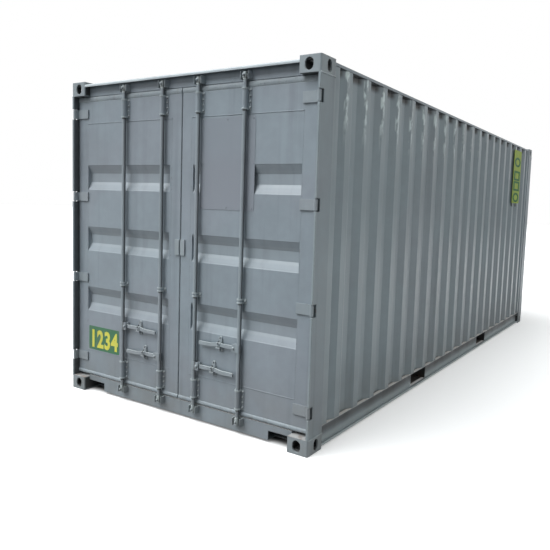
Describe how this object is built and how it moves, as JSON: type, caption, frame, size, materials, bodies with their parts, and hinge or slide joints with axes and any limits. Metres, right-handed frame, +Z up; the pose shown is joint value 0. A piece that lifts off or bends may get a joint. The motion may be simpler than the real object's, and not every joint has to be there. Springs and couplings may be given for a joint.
{
  "type": "storage container",
  "caption": "Corrugated steel storage container with corner castings, fork pockets, plywood floor and closed double doors with turning lock rods and lifting handles.",
  "frame": {"origin": "middle of the container at the ground, under the middle of the bounding box", "axes": "+X along the length away from the doors, +Y towards the left door, +Z up"},
  "size_m": [6.058, 2.438, 2.591],
  "materials": {
    "grey_paint": "weathered semi-matt grey paint",
    "cast_steel": "painted casting, worn at the edges",
    "underside": "dark grey paint, dusty",
    "pin_steel": "plain",
    "painted_rubber": "rubber lip painted over in grey",
    "plywood": "oiled plywood"
  },
  "bodies": {
    "frame": {"corner_castings_top": "cast_steel", "corner_castings_bottom": "cast_steel", "door_posts": "grey_paint", "end_posts": "grey_paint", "door_header": "grey_paint", "door_sill": "grey_paint", "end_header": "grey_paint", "end_sill": "grey_paint", "top_rails": "grey_paint", "bottom_rail_webs": "grey_paint", "bottom_rail_flanges": "grey_paint", "fork_hole_plates": "grey_paint", "side_wall_left": "grey_paint", "side_wall_right": "grey_paint", "end_wall": "grey_paint", "roof_panel": "grey_paint", "cross_members": "underside", "fork_pocket_walls": "underside", "fork_pocket_plates": "underside", "floor_boards": "plywood", "hinge_pins": "pin_steel", "cam_keepers_top": "grey_paint", "cam_keepers_bottom": "grey_paint"},
    "left_door": {"left_door_frame": "grey_paint", "left_door_panel": "grey_paint", "left_door_lips": "painted_rubber", "left_hinge_blades": "grey_paint", "left_rod_guides": "grey_paint", "left_handle_holders": "grey_paint", "left_lock_plate": "grey_paint"},
    "right_door": {"right_door_frame": "grey_paint", "right_door_panel": "grey_paint", "right_door_lips": "painted_rubber", "right_hinge_blades": "grey_paint", "right_rod_guides": "grey_paint", "right_handle_holders": "grey_paint", "right_lock_plate": "grey_paint"},
    "left_rod_outer": {"left_rod_outer": "grey_paint"},
    "left_handle_outer": {"left_handle_outer": "grey_paint"},
    "left_rod_inner": {"left_rod_inner": "grey_paint"},
    "left_handle_inner": {"left_handle_inner": "grey_paint"},
    "right_rod_outer": {"right_rod_outer": "grey_paint"},
    "right_handle_outer": {"right_handle_outer": "grey_paint"},
    "right_rod_inner": {"right_rod_inner": "grey_paint"},
    "right_handle_inner": {"right_handle_inner": "grey_paint"}
  },
  "joints": [
    {"name": "left_door_swing", "type": "hinge", "parent": "frame", "child": "left_door", "pos_m": [-3.014, 1.204, 1.3], "axis": [0, 0, -1], "range_deg": [0, 265]},
    {"name": "right_door_swing", "type": "hinge", "parent": "frame", "child": "right_door", "pos_m": [-3.014, -1.204, 1.3], "axis": [0, 0, 1], "range_deg": [0, 265]},
    {"name": "left_outer_rod_turn", "type": "hinge", "parent": "left_door", "child": "left_rod_outer", "pos_m": [-3.005, 0.605, 1.3], "axis": [0, 0, 1], "range_deg": [-110, 0]},
    {"name": "left_outer_handle_lift", "type": "hinge", "parent": "left_rod_outer", "child": "left_handle_outer", "pos_m": [-3.005, 0.567, 0.626], "axis": [-1, 0, 0], "range_deg": [0, 20]},
    {"name": "left_inner_rod_turn", "type": "hinge", "parent": "left_door", "child": "left_rod_inner", "pos_m": [-3.005, 0.181, 1.3], "axis": [0, 0, -1], "range_deg": [-110, 0]},
    {"name": "left_inner_handle_lift", "type": "hinge", "parent": "left_rod_inner", "child": "left_handle_inner", "pos_m": [-3.005, 0.219, 0.435], "axis": [1, 0, 0], "range_deg": [0, 20]},
    {"name": "right_outer_rod_turn", "type": "hinge", "parent": "right_door", "child": "right_rod_outer", "pos_m": [-3.005, -0.605, 1.3], "axis": [0, 0, -1], "range_deg": [-110, 0]},
    {"name": "right_outer_handle_lift", "type": "hinge", "parent": "right_rod_outer", "child": "right_handle_outer", "pos_m": [-3.005, -0.567, 0.626], "axis": [1, 0, 0], "range_deg": [0, 20]},
    {"name": "right_inner_rod_turn", "type": "hinge", "parent": "right_door", "child": "right_rod_inner", "pos_m": [-3.005, -0.181, 1.3], "axis": [0, 0, 1], "range_deg": [-110, 0]},
    {"name": "right_inner_handle_lift", "type": "hinge", "parent": "right_rod_inner", "child": "right_handle_inner", "pos_m": [-3.005, -0.219, 0.435], "axis": [-1, 0, 0], "range_deg": [0, 20]}
  ]
}
